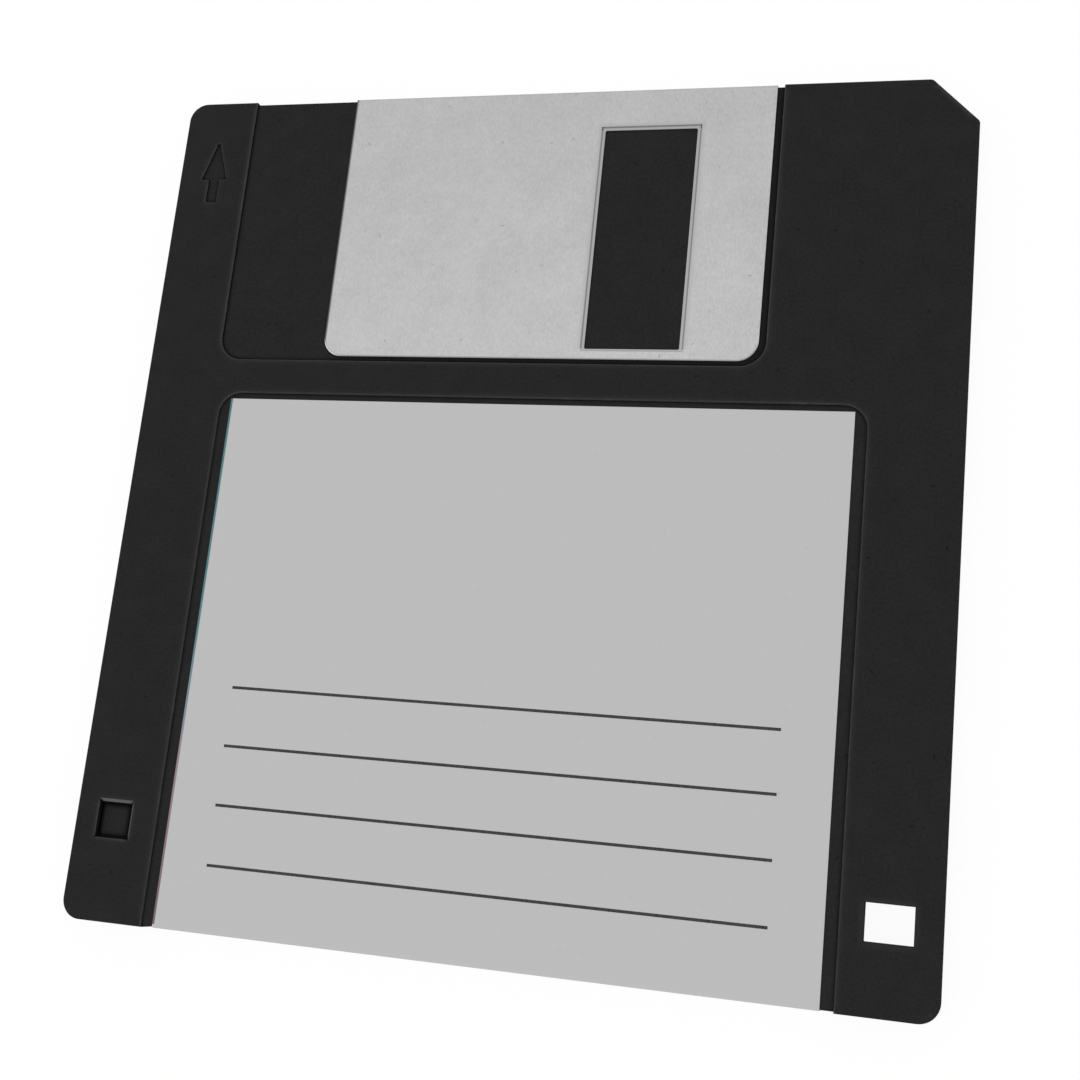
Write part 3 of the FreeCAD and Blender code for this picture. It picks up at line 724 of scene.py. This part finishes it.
def makeInk(name, base, along=None):
    # one colour, or colours with their stops between two heights on the label
    material, tree, shader, place = newMaterial(name)
    if along:
        height = split(tree, place["Object"])["Y"]
        ramp = addNode(tree, "ShaderNodeValToRGB", {"Fac": remap(tree, height, *along)})
        while len(ramp.color_ramp.elements) < len(base):
            ramp.color_ramp.elements.new(0.5)
        for element, (stop, colour) in zip(ramp.color_ramp.elements, base):
            element.position = stop
            element.color = colour
        base = ramp.outputs[0]
    pulp = addPulp(tree, place)
    paper = math2(tree, "MULTIPLY", pulp, labelInk["paperShare"])
    setShader(tree, shader, {
        "Base Color": mixColour(tree, paper, base, labelPaper["light"]),
        "Roughness": remap(tree, pulp, 0.0, 1.0, *labelInk["roughness"]),
        "Specular IOR Level": labelInk["specular"],
    })
    return material


hubSteel = {
    "dark": (0.40, 0.40, 0.405, 1),
    "light": (0.56, 0.56, 0.565, 1),
    "ringWidth": 0.12 * mm,
    "rings": (0.3, 0.7),  # part of the noise that makes them
    "roughness": (0.3, 0.42),
    "bump": (0.003 * mm, 0.3),
}


def makeHubSteel():
    # turned rings round the spindle
    material, tree, shader, place = newMaterial("hubSteel")
    spindle = sum(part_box("hub"), Vector()) / 2
    away = vectorMath(tree, "SUBTRACT", place["Object"], spindle)
    radius = vectorMath(tree, "LENGTH", vectorMath(tree, "MULTIPLY", away, (1, 1, 0)))
    rings = addNode(tree, "ShaderNodeTexNoise", {
        "W": radius, "Scale": 1 / hubSteel["ringWidth"], "Detail": 3.0,
    }, noise_dimensions="1D")
    tone = remap(tree, rings.outputs[0], *hubSteel["rings"])
    setShader(tree, shader, {
        "Base Color": mixColour(tree, tone, hubSteel["dark"], hubSteel["light"]),
        "Roughness": remap(tree, tone, 0.0, 1.0, *hubSteel["roughness"]),
        "Metallic": 1.0,
    })
    addBump(tree, shader, tone, *hubSteel["bump"])
    return material


diskFilm = {
    "dark": (0.012, 0.009, 0.007, 1),
    "light": (0.018, 0.014, 0.011, 1),
    "roughness": (0.22, 0.3),
    "grainSize": 0.3 * mm,
    "specular": 0.5,
    "metallic": 0.0,
}

linerFleece = {
    "dark": (0.6, 0.6, 0.58, 1),
    "light": (0.78, 0.78, 0.76, 1),
    "roughness": (0.9, 1.0),
    "grainSize": 0.2 * mm,
    "specular": 0.1,
    "metallic": 0.0,
}

lifterFilm = {
    "dark": (0.5, 0.5, 0.47, 1),
    "light": (0.55, 0.55, 0.52, 1),
    "roughness": (0.3, 0.4),
    "grainSize": 1 * mm,
    "specular": 0.3,
    "metallic": 0.0,
}

wearPlastic = {
    "dark": (0.62, 0.62, 0.6, 1),
    "light": (0.68, 0.68, 0.66, 1),
    "roughness": (0.35, 0.45),
    "grainSize": 0.5 * mm,
    "specular": 0.3,
    "metallic": 0.0,
}

springSteel = {
    "dark": (0.3, 0.3, 0.3, 1),
    "light": (0.4, 0.4, 0.4, 1),
    "roughness": (0.25, 0.35),
    "grainSize": 0.2 * mm,
    "specular": 0.5,
    "metallic": 1.0,
}

plainBump = (0.01 * mm, 0.3)


def makePlainFinish(name, values):
    material, tree, shader, place = newMaterial(name)
    grain = useGroup(tree, place, mouldGrain, {"Grain Size": values["grainSize"]})
    setShader(tree, shader, {
        "Base Color": mixColour(tree, grain["Tone"], values["dark"], values["light"]),
        "Roughness": remap(tree, grain["Tone"], 0.0, 1.0, *values["roughness"]),
        "Specular IOR Level": values["specular"],
        "Metallic": values["metallic"],
    })
    addBump(tree, shader, grain["Height"], *plainBump)
    return material


def dress(material, *nodes):
    for node in nodes:
        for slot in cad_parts[node].material_slots:
            slot.material = material


dress(makeCasePlastic(), "upper_shell", "lower_shell", "write_protect_tab")
dress(makeShutterSteel(), "shutter")
dress(makeLabelPaper(), "label")
dress(makeHubSteel(), "hub")
dress(makePlainFinish("diskFilm", diskFilm), "magnetic_disk")
dress(makePlainFinish("linerFleece", linerFleece), "upper_liner", "lower_liner")
dress(makePlainFinish("lifterFilm", lifterFilm), "liner_lifter")
dress(makePlainFinish("wearPlastic", wearPlastic), "hub_wear_plate")
print("solids dressed")


# Pieces

def addPiece(name, mesh, material):
    piece = bpy.data.objects.new(name, mesh)
    bpy.context.scene.collection.objects.link(piece)
    mesh.materials.clear()
    mesh.materials.append(material)
    return piece


def joinRings(shape, rings, smooth=False):
    # skin from each ring of points to the next, closed at both ends
    count = len(rings[0])
    for first, second in zip(rings, rings[1:]):
        for side in range(count):
            following = (side + 1) % count
            corners = (first[side], first[following], second[following], second[side])
            shape.faces.new(corners).smooth = smooth
    shape.faces.new(list(reversed(rings[0])))
    shape.faces.new(rings[-1])


def addStrip(shape, low, high, steps=1):
    # thin closed strip from corner to corner, divided along its length
    lowX, lowY, lowZ = low
    highX, highY, highZ = high
    corners = ((lowX, lowZ), (highX, lowZ), (highX, highZ), (lowX, highZ))
    rings = []
    for step in range(steps + 1):
        y = lowY + (highY - lowY) * step / steps
        rings.append([shape.verts.new((x, y, z)) for x, z in corners])
    joinRings(shape, rings)


def finishMesh(name, shape):
    bmesh.ops.recalc_face_normals(shape, faces=shape.faces)
    mesh = bpy.data.meshes.new(name)
    shape.to_mesh(mesh)
    shape.free()
    return mesh


labelLow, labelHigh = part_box("label")

ruling = {
    "firstLine": 32 * mm,  # top of the label to the first line
    "lineStep": 6.2 * mm,
    "lines": 4,
    "margin": 5.2 * mm,
    "thickness": 0.3 * mm,
    "inkDepth": 0.012 * mm,
    "colour": (0.0168, 0.0168, 0.0168, 1),
}


def makeRuling():
    # plain writing lines
    shape = bmesh.new()
    left, right = labelLow.x + ruling["margin"], labelHigh.x - ruling["margin"]
    for line in range(ruling["lines"]):
        y = labelHigh.y - ruling["firstLine"] - line * ruling["lineStep"]
        addStrip(
            shape,
            (left, y - ruling["thickness"], labelHigh.z - ruling["inkDepth"]),
            (right, y, labelHigh.z + ruling["inkDepth"]),
        )
    mesh = finishMesh("label_ruling", shape)
    ink = makeInk("labelInk", ruling["colour"])
    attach(addPiece("label_ruling", mesh, ink), "case")


makeRuling()

edgeLine = {
    "width": 0.22 * mm,
    "foldRoom": 0.4 * mm,  # it ends where the paper starts to fold
    "steps": 24,
    "inkDepth": 0.012 * mm,
    "colours": [
        (0.0, (0.055, 0.17, 0.2, 1)),
        (0.45, (0.06, 0.19, 0.22, 1)),
        (0.62, (0.2, 0.24, 0.3, 1)),
        (0.7, (0.3, 0.2, 0.21, 1)),
        (1.0, (0.16, 0.09, 0.1, 1)),
    ],
}


def makeEdgeLine():
    # coloured line down the left edge of the label
    shape = bmesh.new()
    addStrip(
        shape,
        (labelLow.x, labelLow.y + edgeLine["foldRoom"], labelHigh.z - edgeLine["inkDepth"]),
        (labelLow.x + edgeLine["width"], labelHigh.y, labelHigh.z + edgeLine["inkDepth"]),
        edgeLine["steps"],
    )
    mesh = finishMesh("label_edge_line", shape)
    ink = makeInk("edgeInk", edgeLine["colours"], (labelHigh.y, labelLow.y))
    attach(addPiece("label_edge_line", mesh, ink), "case")


makeEdgeLine()


def sweepWire(name, path, radius, sides):
    shape = bmesh.new()
    rings = []
    for index, point in enumerate(path):
        before = path[max(index - 1, 0)]
        after = path[min(index + 1, len(path) - 1)]
        along = (after - before).normalized()
        across = along.cross(Vector((0, 0, 1))).normalized()
        upward = across.cross(along)
        ring = []
        for side in range(sides):
            angle = 2 * math.pi * side / sides
            offset = across * math.cos(angle) * radius + upward * math.sin(angle) * radius
            ring.append(shape.verts.new(point + offset))
        rings.append(ring)
    joinRings(shape, rings, smooth=True)
    return finishMesh(name, shape)


spring = {
    "wire": 0.38 * mm,
    "endShare": 0.71,  # of half the wire, which the slanted ends stick out past their middle
    "coilRadius": 2.0 * mm,
    "coils": 1,
    "slack": 1.15 * mm,  # leg past half the span
    "stepsPerTurn": 28,
    "wireSides": 12,
}


def makeSpring():
    # the closed torsion spring again, with round wire and a smooth coil
    low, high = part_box("shutter_spring")
    half = spring["wire"] / 2
    anchor = Vector((low.x + half * spring["endShare"], high.y - half, 0))
    tip = Vector((high.x - half * spring["endShare"], high.y - half, 0))
    span = tip - anchor
    leg = span.length / 2 + spring["slack"]
    drop = math.sqrt(leg ** 2 - (span.length / 2) ** 2)
    apex = anchor + span / 2 + Vector((0, -drop, 0))

    def touchAngle(end, turn):
        away = end - apex
        return math.atan2(away.y, away.x) + turn * math.acos(spring["coilRadius"] / away.length)

    first = touchAngle(anchor, 1)
    last = touchAngle(tip, -1)
    sweep = (last - first) % (2 * math.pi) + 2 * math.pi * spring["coils"]
    lowZ, highZ = low.z + half, high.z - half
    path = [Vector((anchor.x, anchor.y, lowZ))]
    steps = round(sweep / (2 * math.pi) * spring["stepsPerTurn"])
    for step in range(steps + 1):
        angle = first + sweep * step / steps
        height = lowZ + (highZ - lowZ) * step / steps
        path.append(Vector((
            apex.x + spring["coilRadius"] * math.cos(angle),
            apex.y + spring["coilRadius"] * math.sin(angle),
            height,
        )))
    path.append(Vector((tip.x, tip.y, highZ)))
    mesh = sweepWire("spring_wire", path, half, spring["wireSides"])
    piece = addPiece(
        "spring_wire", mesh, makePlainFinish("springSteel", springSteel),
    )
    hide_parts("shutter_spring")
    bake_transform(piece)


makeSpring()
print("label print and spring made")


# Floor, light and camera

white = (1, 1, 1, 1)

studio = {
    "floorSize": 3.0,
    "floorGap": 0.02 * mm,
    "floorDark": (0.995, 0.995, 0.995, 1),
    "mottleSize": 20 * mm,
    "mottleClouds": 0.3,
    "floorShow": 0.94,  # how much of the floor's white ignores the shadow
    "worldLevel": 0.8,  # light on the object from all round
    "keyLevel": 0.65,
    "keyFrom": (-0.22, -0.24, 0.95),
    "keySoftness": math.radians(40),
}


def seenRay(tree):
    # 1 for what the camera sees, straight, in a reflection or through glass
    path = tree.nodes.new("ShaderNodeLightPath").outputs
    direct = math2(tree, "MAXIMUM", path["Is Camera Ray"], path["Is Glossy Ray"])
    return math2(tree, "MAXIMUM", direct, path["Is Transmission Ray"])


def makeFloor():
    shape = bmesh.new()
    bmesh.ops.create_grid(shape, x_segments=4, y_segments=4, size=studio["floorSize"] / 2)
    bmesh.ops.translate(
        shape, verts=shape.verts, vec=(0, 0, cadBounds[0][2] - studio["floorGap"]))
    mesh = bpy.data.meshes.new("studio_floor")
    shape.to_mesh(mesh)
    shape.free()
    floor = bpy.data.objects.new("studio_floor", mesh)
    bpy.context.scene.collection.objects.link(floor)
    material, tree, shader, place = newMaterial("floorWhite")
    mottle = useGroup(tree, place, mouldGrain, {
        "Grain Size": studio["mottleSize"], "Cloud Size": studio["mottleClouds"],
    })
    setShader(tree, shader, {
        "Base Color": mixColour(tree, mottle["Tone"], studio["floorDark"], white),
        "Roughness": 1.0,
        "Specular IOR Level": 0.0,
    })
    glow = addNode(tree, "ShaderNodeEmission", {"Color": white, "Strength": 1.0})
    both = addNode(tree, "ShaderNodeMixShader", {
        0: math2(tree, "MULTIPLY", seenRay(tree), studio["floorShow"]),
        1: shader.outputs[0],
        2: glow.outputs[0],
    })
    tree.links.new(both.outputs[0], tree.nodes["Material Output"].inputs["Surface"])
    mesh.materials.append(material)


def makeLight():
    world = bpy.data.worlds.new("studioWorld")
    bpy.context.scene.world = world
    world.use_nodes = True
    tree = world.node_tree
    setShader(tree, tree.nodes["Background"], {
        "Color": white,
        "Strength": remap(tree, seenRay(tree), 0.0, 1.0, studio["worldLevel"], 1.0),
    })
    lamp = bpy.data.lights.new("keyLight", "SUN")
    lamp.energy = studio["keyLevel"]
    lamp.angle = studio["keySoftness"]
    key = bpy.data.objects.new("keyLight", lamp)
    bpy.context.scene.collection.objects.link(key)
    key.rotation_euler = Vector(studio["keyFrom"]).to_track_quat("Z", "Y").to_euler()


camera = {
    "place": (43.77 * mm, -35.92 * mm, 149.19 * mm),
    "acrossX": (0.9639, 0.1012, -0.2463),  # the picture's right-hand direction
    "upward": (-0.0444, 0.9731, 0.2261),
    "lens": 50.0,  # millimetres, as the sensor
    "sensor": 36.0,
    "nearest": 1 * mm,
    "furthest": 10.0,
}


def makeCamera():
    data = bpy.data.cameras.new("photoCamera")
    data.lens = camera["lens"]
    data.sensor_width = camera["sensor"]
    data.clip_start = camera["nearest"]
    data.clip_end = camera["furthest"]
    across = Vector(camera["acrossX"]).normalized()
    back = across.cross(Vector(camera["upward"])).normalized()
    up = back.cross(across)
    turn = Matrix((across, up, back)).transposed()
    eye = bpy.data.objects.new("photoCamera", data)
    bpy.context.scene.collection.objects.link(eye)
    eye.matrix_world = Matrix.Translation(camera["place"]) @ turn.to_4x4()
    bpy.context.scene.camera = eye


makeFloor()
makeLight()
makeCamera()
bpy.context.scene.view_settings.view_transform = "Standard"
print("studio ready")
